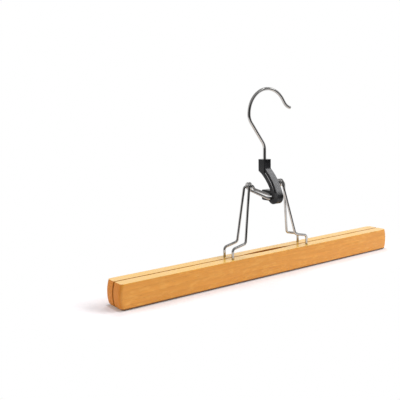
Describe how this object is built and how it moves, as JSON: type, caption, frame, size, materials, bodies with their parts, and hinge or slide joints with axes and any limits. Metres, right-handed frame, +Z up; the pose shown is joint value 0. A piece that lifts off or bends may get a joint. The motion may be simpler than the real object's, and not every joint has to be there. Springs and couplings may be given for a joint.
{
  "type": "trouser hanger",
  "caption": "Clamping trouser hanger: two long wooden jaws on hinged bent-wire frames, closed by a curved plastic lever that carries a swivelling wire hook.",
  "frame": {"origin": "on the floor under the middle of the slit between the closed jaws, halfway along them", "axes": "+X along the jaws, +Y from the front jaw to the back jaw, +Z up towards the hook"},
  "size_m": [0.354, 0.033, 0.1875],
  "materials": {
    "jaw_wood": "satin varnish",
    "frame_wire": "bright plated wire",
    "lever_plastic": "gloss black",
    "hook_wire": "bright plated wire"
  },
  "bodies": {
    "back_body": {"back_jaw": "jaw_wood", "back_frame": "frame_wire"},
    "front_body": {"front_jaw": "jaw_wood", "front_frame": "frame_wire"},
    "lever_body": {"lever": "lever_plastic"},
    "hook_body": {"hook": "hook_wire"}
  },
  "joints": [
    {"name": "lever_pivot", "type": "hinge", "parent": "back_body", "child": "lever_body", "pos_m": [0, -0.0098, 0.0823], "axis": [-1, 0, 0], "range_deg": [0, 90]},
    {"name": "jaw_hinge", "type": "hinge", "parent": "back_body", "child": "front_body", "pos_m": [0, 0.0032, 0.091], "axis": [-1, 0, 0], "range_deg": [0, 15]},
    {"name": "hook_swivel", "type": "hinge", "parent": "lever_body", "child": "hook_body", "pos_m": [0, 0.0029, 0.112], "axis": [0, 0, 1], "continuous": true}
  ],
  "couplings": [
    {"joint": "jaw_hinge", "follows": "lever_pivot", "ratio": 0.16667}
  ]
}
